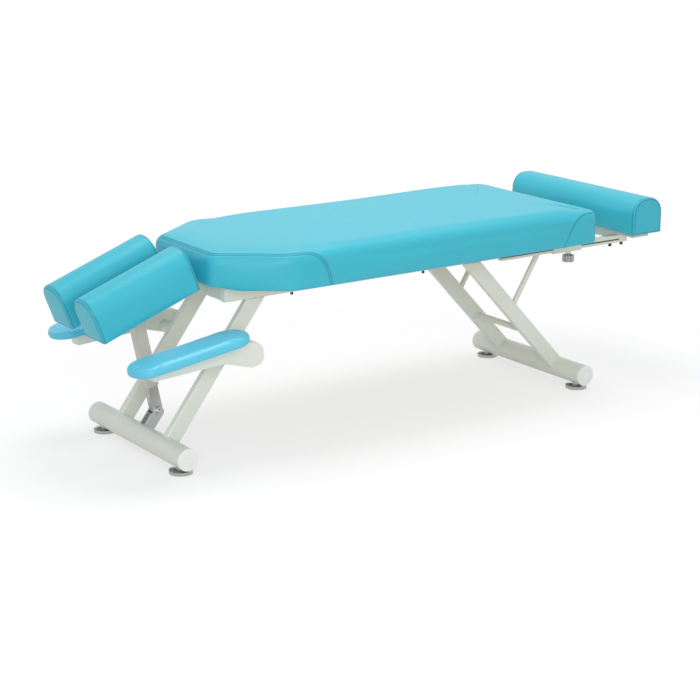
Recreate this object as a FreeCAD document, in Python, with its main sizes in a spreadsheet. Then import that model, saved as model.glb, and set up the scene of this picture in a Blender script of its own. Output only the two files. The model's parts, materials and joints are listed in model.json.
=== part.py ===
import FreeCAD, Part
import Sketcher
import os
import re

# Massage bed: head end at -X, foot end at +X, floor at Z = 0, sizes in millimetres.
# right is the -Y side and left the +Y side, as the person who lies on it has them.

SIZES = {
    # base
    "head_base_x": 704.5,
    "foot_base_x": 663.8,
    "base_tube_radius": 30.25,
    "base_tube_wall": 2,
    "base_tube_length": 498,
    "base_tube_z": 45.6,
    "cap_rim": 5,
    "cap_plug": 12,
    "cap_ring_radius": 16,
    "cap_ring_width": 2.4,
    "cap_ring_depth": 1.2,
    # levelling feet
    "foot_inset_y": 35.4,
    "foot_radius": 32,
    "foot_edge": 9,
    "foot_height": 12,
    "foot_crown_radius": 11,
    "foot_stem_radius": 5,
    "foot_stem_top": 38,
    "foot_boss_radius": 11,
    "foot_seat_gap": 0.3,
    "thread_clearance": 0.05,
    # legs
    "leg_thickness": 22,
    "leg_wall": 2,
    "leg_corner": 5,
    "leg_top_z": 415.3,
    "head_leg_top_x": 418.6,
    "head_leg_foot_offset": 29.3,
    "head_leg_width": 57,
    "foot_leg_top_x": 317.1,
    "foot_leg_foot_offset": 27,
    "foot_leg_width": 62,
    "leg_cut_drop": 14,
    "leg_toe": 6,
    "crossbar_radius": 9.5,
    "crossbar_wall": 1.5,
    "crossbar_z": 173,
    "stay_radius": 8,
    "stay_foot_z": 270.6,
    "stay_rise_x": 90.2,
    "stay_root": 20,
    # top frame
    "rail_width": 22,
    "rail_height": 50,
    "rail_wall": 2,
    "rail_corner": 3,
    "rail_y": 127,
    "frame_head_x": 514,
    "frame_foot_x": 660,
    "board_thickness": 12,
    "board_inset": 20,
    "board_corner": 36,
    "recess_gap": 0.3,
    # main cushion
    "cushion_thickness": 94.7,
    "cushion_head_overhang": 51.6,
    "cushion_foot_overhang": 7.8,
    "cushion_half_width": 276.4,
    "cushion_head_half_width": 141.5,
    "cushion_taper_run": 175.3,
    "cushion_corner": 42,
    "cushion_taper_corner": 110,
    "cushion_edge": 20,
    "cushion_bolt_radius": 4,
    "cushion_bolt_drop": 9,
    "cushion_bolt_head_x": 299,
    "cushion_bolt_foot_x": 146,
    "bolt_socket_radius": 1.8,
    "bolt_socket_depth": 3,
    # head section
    "hinge_reach": 90,
    "hinge_rise": 9.7,
    "head_slope": 20.5,
    "roll_start": 9,
    "roll_length": 304,
    "roll_drop": 16,
    "roll_height": 119,
    "roll_width": 105,
    "roll_inner_y": 37,
    "roll_crown": 46,
    "head_board_thickness": 12,
    "head_board_inset": 12,
    "ear_thickness": 6,
    "ear_y": 24,
    "ear_radius": 15,
    "ear_step": 4,
    "hinge_pin_radius": 6,
    "hinge_pin_head": 10,
    "hinge_pin_head_length": 5,
    "hinge_fit": 0.05,
    "hinge_side_gap": 0.3,
    "fork_plate": 5,
    "fork_start": 45,
    "fork_length": 92,
    "sleeve_radius": 12,
    "cheek_thickness": 4,
    "cheek_inner_y": 18,
    "cheek_end": 14,
    "cheek_lap": 20,
    "cheek_depth": 46,
    "cheek_bolt_radius": 8,
    "cheek_bolt_height": 5,
    # strut
    "strut_foot_x": 656.5,
    "strut_foot_z": 107,
    "strut_top_x": 718,
    "strut_top_z": 408,
    "sleeve_width": 30,
    "sleeve_depth": 34,
    "sleeve_wall": 2.5,
    "strut_sleeve_start": 75,
    "strut_bar_top": 234,
    "strut_cavity_drop": 13,
    "strut_cap": 12,
    "knuckle_radius": 13,
    "knuckle_neck": 8,
    "strut_pin_radius": 5,
    "strut_pin_head": 8,
    "strut_pin_head_length": 4,
    "clevis_plate": 5,
    "clevis_gap": 0.3,
    "clevis_radius": 14,
    # armrests
    "arm_pivot_z": 284,
    "arm_tilt": 8.5,
    "arm_inner_y": 196,
    "arm_thickness": 36,
    "arm_top": 51.7,
    "arm_tip_x": 268,
    "arm_tip_z": 21,
    "arm_waist_x": 60,
    "arm_waist_z": 4,
    "arm_heel_x": 20,
    "arm_shoulder_x": 14,
    "arm_end_x": 62.4,
    "arm_end_top": 25,
    "arm_end_bottom": 32,
    "arm_end_round": 27,
    "arm_boss_radius": 16,
    "arm_pin_radius": 6,
    "arm_pin_depth": 24,
    "arm_side_gap": 0.3,
    "pad_length": 353,
    "pad_width": 114,
    "pad_thickness": 24,
    "pad_centre_x": 154,
    "pad_centre_y": 228,
    "pad_end_round": 56,
    "pad_edge": 10,
    # sliding foot bolster
    "guide_head_x": 604,
    "guide_foot_x": 712,
    "guide_width": 25,
    "guide_height": 30,
    "guide_wall": 3.5,
    "guide_drop": 6,
    "slide_gap": 0.25,
    "slide_head_x": 408,
    "slide_foot_x": 899,
    "slide_bar_end": 15,
    "slide_bar_width": 30,
    "slide_bar_drop": 12,
    "slot_end": 31,
    "slot_rise": 7.3,
    "slot_height": 4,
    "slot_depth": 10,
    "bolster_head_x": 809,
    "bolster_width": 109,
    "bolster_height": 108.4,
    "bolster_half_length": 280,
    "bolster_z": 459.6,
    "bolster_crown": 48,
    "bolster_board_inset": 10,
    "bolster_board_thickness": 10,
    "slide_bolt_head_x": 838,
    "slide_bolt_foot_x": 884,
    "slide_bolt_radius": 5,
    "slide_bolt_drop": 10,
    # lock knob
    "knob_x": 671,
    "knob_radius": 18,
    "knob_height": 20,
    "knob_drop": 12,
    "knob_lobe_radius": 5,
    "knob_lobe_inset": 1.5,
    "knob_lobes": 6,
    "knob_stem_radius": 4,
    "knob_boss_radius": 9,
    "knob_boss_height": 6,
}

DOC = FreeCAD.newDocument("MassageBed")
SHEET = DOC.addObject("Spreadsheet::Sheet", "Sizes")
for row, (alias, size) in enumerate(SIZES.items(), 1):
    SHEET.set(f"A{row}", alias)
    SHEET.set(f"B{row}", str(size))
    SHEET.setAlias(f"B{row}", alias)
DOC.recompute()

SIDES = {"right": -1, "left": 1}
NODES = []


# Formulas over the sheet: a formula names the sizes, and this adds the sheet's name to each.
def formula(text):
    return re.sub(r"[a-z_]\w*", lambda word: prefixed(word.group()), text)


def prefixed(word):
    return "Sizes." + word if word in SIZES else word


def value(text):
    return float(SHEET.evalExpression(formula(text)))


def bind(thing, prop, text):
    thing.setExpression(prop, formula(text))


def keep(thing, label):
    thing.Label = label
    NODES.append(thing)
    return thing


# The stretch from inner to outer on one side of the bed, as low and high formulas.
def sideSpan(sign, inner, outer):
    if sign > 0:
        return inner, outer
    return f"0 - ( {outer} )", f"0 - ( {inner} )"


# A closed sketch of straight lines whose corners are held at formulas of the sheet.
def outlineSketch(body, role, corners, height):
    sketch = body.newObject("Sketcher::SketchObject", "Outline")
    plane = next(item for item in body.Origin.OriginFeatures if item.Role == role)
    sketch.AttachmentSupport = [(plane, "")]
    sketch.MapMode = "FlatFace"
    bind(sketch, "AttachmentOffset.Base.z", height)
    places = [FreeCAD.Vector(value(across), value(up), 0) for across, up in corners]
    for number, place in enumerate(places):
        sketch.addGeometry(Part.LineSegment(place, places[(number + 1) % len(places)]))
    for number, (across, up) in enumerate(corners):
        following = (number + 1) % len(corners)
        sketch.addConstraint(Sketcher.Constraint("Coincident", number, 2, following, 1))
        for direction, text in (("DistanceX", across), ("DistanceY", up)):
            held = Sketcher.Constraint(direction, -1, 1, number, 1, value(text))
            index = sketch.addConstraint(held)
            bind(sketch, f"Constraints[{index}]", text)
    return sketch


# The sketch lies at the end of the stretch from which a pad grows along its normal.
def padHeight(role, low, high):
    return f"0 - ( {high} )" if role == "XZ_Plane" else low


def pocketHeight(role, low, high):
    return f"0 - ( {low} )" if role == "XZ_Plane" else high


def addPad(body, role, corners, low, high):
    sketch = outlineSketch(body, role, corners, padHeight(role, low, high))
    pad = body.newObject("PartDesign::Pad", "Pad")
    pad.Profile = sketch
    bind(pad, "Length", f"( {high} ) - ( {low} )")
    DOC.recompute()
    return pad


def addPocket(body, role, corners, low, high):
    before = body.Shape.Volume
    sketch = outlineSketch(body, role, corners, pocketHeight(role, low, high))
    pocket = body.newObject("PartDesign::Pocket", "Pocket")
    pocket.Profile = sketch
    bind(pocket, "Length", f"( {high} ) - ( {low} )")
    DOC.recompute()
    if body.Shape.Volume >= before:
        raise ValueError(f"{body.Label}: a pocket cut nothing")
    return pocket


# Rounds the edges of the last feature that the test picks by their two ends.
def addFillet(body, test, radius):
    base = body.Tip
    edges = base.Shape.Edges
    picked = [f"Edge{number}" for number, edge in enumerate(edges, 1) if test(edge)]
    fillet = body.newObject("PartDesign::Fillet", "Round")
    fillet.Base = (base, picked)
    bind(fillet, "Radius", radius)
    DOC.recompute()
    if "Invalid" in fillet.State:
        raise ValueError(f"{body.Label}: a round failed")
    return fillet


def makeBody(label):
    return keep(DOC.addObject("PartDesign::Body", "Body"), label)


def rectangle(left, right, low, high):
    return [(left, low), (right, low), (right, high), (left, high)]


# Edge tests: which way an edge runs, and where it lies.
def runsAlong(edge, axis):
    ends = [vertex.Point for vertex in edge.Vertexes]
    if len(ends) != 2 or edge.Curve.TypeId != "Part::GeomLine":
        return False
    step = ends[1] - ends[0]
    return abs(getattr(step.normalize(), axis)) > 1 - 1e-6


def climbs(edge):
    return edge.Curve.TypeId == "Part::GeomLine" and abs(edge.Curve.Direction.z) > 0.3


def middle(edge):
    return edge.BoundBox.Center


def highest(edge, top):
    return edge.BoundBox.ZMin > top - 1e-3


# Part primitives
def makeBox(x_low, x_high, y_low, y_high, z_low, z_high):
    box = DOC.addObject("Part::Box", "Box")
    bind(box, "Length", f"( {x_high} ) - ( {x_low} )")
    bind(box, "Width", f"( {y_high} ) - ( {y_low} )")
    bind(box, "Height", f"( {z_high} ) - ( {z_low} )")
    bind(box, "Placement.Base.x", x_low)
    bind(box, "Placement.Base.y", y_low)
    bind(box, "Placement.Base.z", z_low)
    return box


TURNS = {
    "X": FreeCAD.Rotation(FreeCAD.Vector(0, 1, 0), 90),
    "Y": FreeCAD.Rotation(FreeCAD.Vector(1, 0, 0), -90),
    "Z": FreeCAD.Rotation(),
}


def makeCylinder(axis, radius, length, x, y, z):
    cylinder = DOC.addObject("Part::Cylinder", "Cylinder")
    cylinder.Placement.Rotation = TURNS[axis]
    bind(cylinder, "Radius", radius)
    bind(cylinder, "Height", length)
    bind(cylinder, "Placement.Base.x", x)
    bind(cylinder, "Placement.Base.y", y)
    bind(cylinder, "Placement.Base.z", z)
    return cylinder


def makeCut(base, tool):
    cut = DOC.addObject("Part::Cut", "Cut")
    cut.Base = base
    cut.Tool = tool
    return cut


def makeFuse(pieces):
    fuse = DOC.addObject("Part::MultiFuse", "Fuse")
    fuse.Shapes = pieces
    fuse.Refine = True
    return fuse


# Places a piece that is drawn about a pivot: the pivot's place, and a turn about +Y.
def placeAt(piece, x, z, angle):
    axis = FreeCAD.Vector(0, 1, 0)
    piece.Placement = FreeCAD.Placement(FreeCAD.Vector(), FreeCAD.Rotation(axis, value(angle)))
    bind(piece, "Placement.Rotation.Angle", angle)
    bind(piece, "Placement.Base.x", x)
    bind(piece, "Placement.Base.z", z)
    return piece


BASES = {"head": "0 - head_base_x", "foot": "foot_base_x"}
TUBE_INSIDE = "( base_tube_radius - base_tube_wall )"
FOOT_Y = "( base_tube_length / 2 - foot_inset_y )"


# Base tubes with a threaded boss over each levelling foot
def baseTube(end, x):
    half = "base_tube_length / 2"
    tube = makeCylinder("Y", "base_tube_radius", "base_tube_length", x, f"0 - {half}", "base_tube_z")
    inside = makeCylinder("Y", TUBE_INSIDE, "base_tube_length", x, f"0 - {half}", "base_tube_z")
    shell = makeCut(tube, inside)
    pieces = [shell]
    bores = []
    for sign in SIDES.values():
        y = f"{sign} * {FOOT_Y}"
        low = "( foot_height + foot_seat_gap )"
        pieces.append(makeCylinder("Z", "foot_boss_radius", f"base_tube_z - {low}", x, y, low))
        bore = "foot_stem_radius + thread_clearance"
        bores.append(makeCylinder("Z", bore, "base_tube_z", x, y, "0"))
    keep(makeCut(makeFuse(pieces), makeFuse(bores)), f"{end}_base_tube")


# White end cap: a rim that covers the tube's end, a plug inside it and a round groove
def baseCap(end, x, side, sign):
    end_y = "base_tube_length / 2"
    low, high = sideSpan(sign, end_y, f"{end_y} + cap_rim")
    rim = makeCylinder("Y", "base_tube_radius", "cap_rim", x, low, "base_tube_z")
    plug_low, plug_high = sideSpan(sign, f"{end_y} - cap_plug", end_y)
    plug = makeCylinder("Y", TUBE_INSIDE, "cap_plug", x, plug_low, "base_tube_z")
    low, high = sideSpan(sign, f"{end_y} + cap_rim - cap_ring_depth", f"{end_y} + cap_rim")
    ring = makeCylinder("Y", "cap_ring_radius", "cap_ring_depth", x, low, "base_tube_z")
    island = "cap_ring_radius - cap_ring_width"
    core = makeCylinder("Y", island, "cap_ring_depth", x, low, "base_tube_z")
    groove = makeCut(ring, core)
    keep(makeCut(makeFuse([rim, plug]), groove), f"{end}_cap_{side}")


# Levelling foot: a flat disc with a low crown and a threaded stem, turned in one piece
def levellingFoot(end, x, side, sign):
    body = makeBody(f"{end}_levelling_foot_{side}")
    corners = [
        ("0", "0"),
        ("foot_radius", "0"),
        ("foot_radius", "foot_edge"),
        ("foot_crown_radius", "foot_height"),
        ("foot_stem_radius", "foot_height"),
        ("foot_stem_radius", "foot_stem_top"),
        ("0", "foot_stem_top"),
    ]
    sketch = outlineSketch(body, "XZ_Plane", corners, "0")
    turned = body.newObject("PartDesign::Revolution", "Turned")
    turned.Profile = sketch
    turned.ReferenceAxis = (sketch, ["V_Axis"])
    turned.Angle = 360
    bind(body, "Placement.Base.x", x)
    bind(body, "Placement.Base.y", f"{sign} * {FOOT_Y}")


RAIL_LOW = "leg_top_z"
RAIL_HIGH = "( leg_top_z + rail_height )"
CUSHION_HEAD = "( frame_head_x + cushion_head_overhang )"
CUSHION_FOOT = "( frame_foot_x + cushion_foot_overhang )"
PIVOT_X = "( frame_head_x + hinge_reach )"
PIVOT_Z = f"( {RAIL_HIGH} + hinge_rise )"


# Legs: a slanted rectangular tube, cut level under the rail and coped over the base tube
LEG_INNER = "( rail_y - leg_thickness / 2 )"
LEG_OUTER = "( rail_y + leg_thickness / 2 )"
HEAD_LEG_RUN = "( head_base_x - head_leg_foot_offset - head_leg_top_x )"
TUBE_TOP = "( base_tube_z + base_tube_radius )"
HEAD_LEG_SLOPE = f"( {HEAD_LEG_RUN} / ( leg_top_z - {TUBE_TOP} ) )"
FOOT_LEG_RUN = "( foot_base_x - foot_leg_foot_offset - foot_leg_top_x )"
FOOT_LEG_SLOPE = f"( {FOOT_LEG_RUN} / ( leg_top_z - {TUBE_TOP} ) )"
LEG_SLOPES = {"head": HEAD_LEG_SLOPE, "foot": FOOT_LEG_SLOPE}
LEG_BOTTOM = "( base_tube_z - leg_cut_drop )"


def headLegX(z, shift):
    return f"( {shift} - head_leg_top_x - ( leg_top_z - ( {z} ) ) * {HEAD_LEG_SLOPE} )"


def footLegX(z, shift):
    return f"( foot_leg_top_x + {shift} + ( leg_top_z - ( {z} ) ) * {FOOT_LEG_SLOPE} )"


def legCorners(run_at, width, bottom, inset):
    half = f"( {width} / 2 - {inset} )"
    return [
        (run_at("leg_top_z", f"0 - {half}"), "leg_top_z"),
        (run_at("leg_top_z", half), "leg_top_z"),
        (run_at(bottom, half), bottom),
        (run_at(bottom, f"0 - {half}"), bottom),
    ]


def leg(end, run_at, trim_low, trim_high, side, sign):
    width = f"{end}_leg_width"
    blank = DOC.addObject("PartDesign::Body", "LegBlank")
    low, high = sideSpan(sign, LEG_INNER, LEG_OUTER)
    addPad(blank, "XZ_Plane", legCorners(run_at, width, LEG_BOTTOM, "0"), low, high)
    addFillet(blank, climbs, "leg_corner")
    inner_low, inner_high = sideSpan(sign, f"{LEG_INNER} + leg_wall", f"{LEG_OUTER} - leg_wall")
    inset = f"leg_wall * sqrt( 1 + {LEG_SLOPES[end]} ^ 2 )"
    hollow = legCorners(run_at, width, LEG_BOTTOM, inset)
    addPocket(blank, "XZ_Plane", hollow, inner_low, inner_high)
    x = BASES[end]
    start = "0 - base_tube_length / 2"
    cope = makeCylinder("Y", "base_tube_radius", "base_tube_length", x, start, "base_tube_z")
    trim = makeBox(trim_low, trim_high, low, high, "0", "leg_top_z / 2")
    keep(makeCut(blank, makeFuse([cope, trim])), f"{end}_leg_{side}")


# Each leg's outer edge lands on top of the base tube, and the toe past it is cut off.
def legPair(side, sign):
    beyond = "0 - head_base_x - head_leg_width"
    leg("head", headLegX, beyond, "0 - head_base_x - leg_toe", side, sign)
    past = "foot_base_x + foot_leg_width"
    leg("foot", footLegX, "foot_base_x + leg_toe", past, side, sign)


# Round tube between the two foot-end legs
def crossbar():
    x = footLegX("crossbar_z", "0")
    start = f"0 - {LEG_INNER}"
    length = f"2 * {LEG_INNER}"
    tube = makeCylinder("Y", "crossbar_radius", length, x, start, "crossbar_z")
    hollow = makeCylinder("Y", "crossbar_radius - crossbar_wall", length, x, start, "crossbar_z")
    keep(makeCut(tube, hollow), "foot_crossbar")


# Round stay from the upper side of a foot-end leg to the side rail
def stay(side, sign):
    rise = "( leg_top_z - stay_foot_z )"
    angle = f"atan( stay_rise_x / {rise} )"
    foot_x = footLegX("stay_foot_z", "foot_leg_width / 2")
    rod = DOC.addObject("Part::Cylinder", "Stay")
    bind(rod, "Radius", "stay_radius")
    bind(rod, "Height", f"sqrt( stay_rise_x ^ 2 + {rise} ^ 2 ) + 2 * stay_root")
    start_x = f"{foot_x} - stay_root * sin( {angle} )"
    start_z = f"stay_foot_z - stay_root * cos( {angle} )"
    placeAt(rod, start_x, start_z, angle)
    bind(rod, "Placement.Base.y", f"{sign} * rail_y")
    shadow = DOC.addObject("PartDesign::Body", "LegShadow")
    low, high = sideSpan(sign, LEG_INNER, LEG_OUTER)
    corners = legCorners(footLegX, "foot_leg_width", "base_tube_z", "0")
    addPad(shadow, "XZ_Plane", corners, low, high)
    far_x = f"{foot_x} + 2 * stay_rise_x"
    above = makeBox(foot_x, far_x, low, high, RAIL_LOW, RAIL_HIGH)
    keep(makeCut(rod, makeFuse([shadow, above])), f"foot_stay_{side}")


# Tubes of the top frame, which the legs carry and the cushion lies on
def railSection(centre, inset):
    half = f"( rail_width / 2 - {inset} )"
    low = f"{RAIL_LOW} + {inset}"
    high = f"{RAIL_HIGH} - {inset}"
    return rectangle(f"{centre} - {half}", f"{centre} + {half}", low, high)


def sideRail(side, sign):
    body = makeBody(f"side_rail_{side}")
    centre = f"{sign} * rail_y"
    low = "0 - frame_head_x"
    high = "frame_foot_x"
    addPad(body, "YZ_Plane", railSection(centre, "0"), low, high)
    addFillet(body, lambda edge: runsAlong(edge, "x"), "rail_corner")
    addPocket(body, "YZ_Plane", railSection(centre, "rail_wall"), low, high)


def crossTube(label, centre):
    body = makeBody(label)
    reach = "( rail_y - rail_width / 2 )"
    low = f"0 - {reach}"
    addPad(body, "XZ_Plane", railSection(centre, "0"), low, reach)
    addFillet(body, lambda edge: runsAlong(edge, "y"), "rail_corner")
    addPocket(body, "XZ_Plane", railSection(centre, "rail_wall"), low, reach)


# Outline of the main cushion, drawn in by an inset
def cushionCorners(inset):
    head = f"( {inset} - {CUSHION_HEAD} )"
    foot = f"( {CUSHION_FOOT} - {inset} )"
    wide = f"( cushion_half_width - {inset} )"
    slope = "( ( cushion_half_width - cushion_head_half_width ) / cushion_taper_run )"
    stretch = f"sqrt( 1 + {slope} ^ 2 )"
    narrow = f"( cushion_head_half_width - {inset} * ( {stretch} - {slope} ) )"
    shift = f"{inset} * ( {stretch} - 1 ) / {slope}"
    taper = f"( cushion_taper_run - {CUSHION_HEAD} + {shift} )"
    return [
        (head, f"0 - {narrow}"),
        (taper, f"0 - {wide}"),
        (foot, f"0 - {wide}"),
        (foot, wide),
        (taper, wide),
        (head, narrow),
    ]


def mainBoard():
    body = makeBody("main_board")
    corners = cushionCorners("board_inset")
    addPad(body, "XY_Plane", corners, RAIL_HIGH, f"{RAIL_HIGH} + board_thickness")
    addFillet(body, lambda edge: runsAlong(edge, "z"), "board_corner")


def mainCushion():
    body = makeBody("main_cushion")
    high = f"{RAIL_HIGH} + cushion_thickness"
    corners = cushionCorners("0")
    addPad(body, "XY_Plane", corners, RAIL_HIGH, high)
    taper_x = value(corners[1][0])

    def atTaper(edge):
        return runsAlong(edge, "z") and abs(middle(edge).x - taper_x) < 1e-3

    def atEnds(edge):
        return runsAlong(edge, "z") and not atTaper(edge)

    addFillet(body, atEnds, "cushion_corner")
    addFillet(body, atTaper, "cushion_taper_corner")
    top = value(high)
    addFillet(body, lambda edge: highest(edge, top), "cushion_edge")
    recess = cushionCorners("( board_inset - recess_gap )")
    addPocket(body, "XY_Plane", recess, RAIL_HIGH, f"{RAIL_HIGH} + board_thickness + recess_gap")


# Bolt that holds the board from below: a socket head under the side rail
def cushionBolt(label, x, sign):
    y = f"{sign} * rail_y"
    low = f"{RAIL_LOW} - cushion_bolt_drop"
    head = makeCylinder("Z", "cushion_bolt_radius", "cushion_bolt_drop", x, y, low)
    socket = makeCylinder("Z", "bolt_socket_radius", "bolt_socket_depth", x, y, low)
    keep(makeCut(head, socket), label)


# Head section, drawn about its pivot with the head end at -X and then sloped
HEAD_TURN = "0 - head_slope"


def placeHead(piece):
    return placeAt(piece, f"0 - {PIVOT_X}", PIVOT_Z, HEAD_TURN)


# Outline of the board in a roll's underside, drawn in by an inset from the roll's sides
def headBoardCorners(sign, inset):
    inner = f"roll_inner_y + {inset}"
    start, stop = sideSpan(sign, inner, f"roll_inner_y + roll_width - {inset}")
    head = f"roll_start - roll_length + {inset}"
    return rectangle(head, f"roll_start - {inset}", start, stop)


def headRoll(side, sign):
    body = makeBody(f"head_cushion_{side}")
    inner, outer = sideSpan(sign, "roll_inner_y", "roll_inner_y + roll_width")
    base = "0 - roll_drop"
    corners = rectangle(inner, outer, base, f"{base} + roll_height")
    addPad(body, "YZ_Plane", corners, "roll_start - roll_length", "roll_start")
    top = value(f"{base} + roll_height")
    addFillet(body, lambda edge: runsAlong(edge, "x") and highest(edge, top), "roll_crown")
    recess = headBoardCorners(sign, "( head_board_inset - recess_gap )")
    depth = "head_board_thickness + recess_gap"
    addPocket(body, "XY_Plane", recess, base, f"{base} + {depth}")
    placeHead(body)


def headBoard(side, sign):
    body = makeBody(f"head_board_{side}")
    low = "0 - roll_drop"
    corners = headBoardCorners(sign, "head_board_inset")
    addPad(body, "XY_Plane", corners, low, f"{low} + head_board_thickness")
    placeHead(body)


# Place of the strut's upper pivot in the head section's own directions
def headLocal():
    away = f"( strut_top_x - {PIVOT_X} )"
    drop = f"( {PIVOT_Z} - strut_top_z )"
    reach = f"( {away} * cos( head_slope ) + {drop} * sin( head_slope ) )"
    depth = f"( {drop} * cos( head_slope ) - {away} * sin( head_slope ) )"
    return reach, depth


# Steel carrier of the head section: hinge sleeve, web, cross plate and two strut cheeks
def headFork():
    reach, depth = headLocal()
    roll_low = "( 0 - roll_drop )"
    plate_low = f"( {roll_low} - fork_plate )"
    half_width = "( roll_inner_y + roll_width - head_board_inset )"
    start = "( 0 - fork_length )"
    plate = makeBox(start, "0 - fork_start", f"0 - {half_width}", half_width, plate_low, roll_low)
    half_sleeve = "( ear_y - ear_thickness / 2 - hinge_side_gap )"
    start_y = f"0 - {half_sleeve}"
    sleeve = makeCylinder("Y", "sleeve_radius", f"2 * {half_sleeve}", "0", start_y, "0")
    web = makeBox(start, "0", "0 - cheek_inner_y", "cheek_inner_y", plate_low, "0")
    pieces = [plate, sleeve, web]
    outer = "( cheek_inner_y + cheek_thickness )"
    for sign in SIDES.values():
        low, high = sideSpan(sign, "cheek_inner_y", outer)
        head_x = f"0 - {reach} - cheek_end"
        foot_x = "0 - fork_length + cheek_lap"
        pieces.append(makeBox(head_x, foot_x, low, high, "0 - cheek_depth", "0"))
        low, high = sideSpan(sign, outer, f"{outer} + cheek_bolt_height")
        bolt = ["cheek_bolt_radius", "cheek_bolt_height", f"0 - {reach}", low, f"0 - {depth}"]
        pieces.append(makeCylinder("Y", *bolt))
    bore = "hinge_pin_radius + hinge_fit"
    hole = makeCylinder("Y", bore, f"2 * {half_sleeve}", "0", start_y, "0")
    placeHead(keep(makeCut(makeFuse(pieces), hole), "head_fork"))


# Hinge ears stand on the head cross tube, one each side of the sleeve
def hingeEar(side, sign):
    blank = DOC.addObject("PartDesign::Body", "EarBlank")
    low, high = sideSpan(sign, "ear_y - ear_thickness / 2", "ear_y + ear_thickness / 2")
    tube_x = "0 - frame_head_x"
    step_x = f"0 - {CUSHION_HEAD} - ear_step"
    foot_x = f"0 - {PIVOT_X} + ear_radius"
    head_x = f"0 - {PIVOT_X} - ear_radius"
    corners = [
        (tube_x, RAIL_LOW),
        (tube_x, RAIL_HIGH),
        (step_x, RAIL_HIGH),
        (foot_x, f"{PIVOT_Z} + ear_radius"),
        (head_x, f"{PIVOT_Z} + ear_radius"),
        (head_x, f"{PIVOT_Z} - ear_radius"),
    ]
    addPad(blank, "XZ_Plane", corners, low, high)
    head_face = value(head_x)

    def atHeadEnd(edge):
        return runsAlong(edge, "y") and abs(middle(edge).x - head_face) < 1e-3

    addFillet(blank, atHeadEnd, "ear_radius - hinge_fit")
    bore = ["hinge_pin_radius + hinge_fit", "ear_thickness", f"0 - {PIVOT_X}", low, PIVOT_Z]
    keep(makeCut(blank, makeCylinder("Y", *bore)), f"hinge_ear_{side}")


def hingePin():
    reach = "( ear_y + ear_thickness / 2 )"
    x = f"0 - {PIVOT_X}"
    z = PIVOT_Z
    pieces = [makeCylinder("Y", "hinge_pin_radius", f"2 * {reach}", x, f"0 - {reach}", z)]
    for sign in SIDES.values():
        low, high = sideSpan(sign, reach, f"{reach} + hinge_pin_head_length")
        pieces.append(makeCylinder("Y", "hinge_pin_head", "hinge_pin_head_length", x, low, z))
    keep(makeFuse(pieces), "hinge_pin")


# Strut, drawn about its lower pivot with its length upright and then leaned
STRUT_RUN = "( strut_top_x - strut_foot_x )"
STRUT_RISE = "( strut_top_z - strut_foot_z )"
STRUT_TURN = f"-1 * atan( {STRUT_RUN} / {STRUT_RISE} )"
STRUT_LENGTH = f"sqrt( {STRUT_RUN} ^ 2 + {STRUT_RISE} ^ 2 )"
BAR_HALF_DEPTH = "( sleeve_depth / 2 - sleeve_wall - slide_gap )"
BAR_HALF_WIDTH = "( sleeve_width / 2 - sleeve_wall - slide_gap )"


def placeStrut(piece):
    return placeAt(piece, "0 - strut_foot_x", "strut_foot_z", STRUT_TURN)


def upright(half_depth, half_width, low, high):
    sides = [f"0 - {half_depth}", half_depth, f"0 - {half_width}", half_width]
    return makeBox(*sides, low, high)


def strutBar():
    bar = upright(BAR_HALF_DEPTH, BAR_HALF_WIDTH, "knuckle_neck", "strut_bar_top")
    width = f"2 * {BAR_HALF_WIDTH}"
    start = f"0 - {BAR_HALF_WIDTH}"
    knuckle = makeCylinder("Y", "knuckle_radius", width, "0", start, "0")
    bore = makeCylinder("Y", "strut_pin_radius + hinge_fit", width, "0", start, "0")
    placeStrut(keep(makeCut(makeFuse([bar, knuckle]), bore), "strut_bar"))


def strutSleeve():
    top = f"{STRUT_LENGTH} + strut_cap"
    half_depth = "( sleeve_depth / 2 )"
    half_width = "( sleeve_width / 2 )"
    shell = upright(half_depth, half_width, "strut_sleeve_start", top)
    inner_depth = f"( {half_depth} - sleeve_wall )"
    inner_width = f"( {half_width} - sleeve_wall )"
    cavity_top = f"{STRUT_LENGTH} - strut_cavity_drop"
    cavity = upright(inner_depth, inner_width, "strut_sleeve_start", cavity_top)
    reach = "( cheek_inner_y - hinge_side_gap )"
    pin = ["strut_pin_radius", f"2 * {reach}", "0", f"0 - {reach}", STRUT_LENGTH]
    sleeve = makeFuse([makeCut(shell, cavity), makeCylinder("Y", *pin)])
    placeStrut(keep(sleeve, "strut_sleeve"))


# Clevis on the head base tube, drawn about the tube's axis and turned towards the pivot
CLEVIS_RUN = "( head_base_x - strut_foot_x )"
CLEVIS_RISE = "( strut_foot_z - base_tube_z )"
CLEVIS_REACH = f"sqrt( {CLEVIS_RUN} ^ 2 + {CLEVIS_RISE} ^ 2 )"


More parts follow.
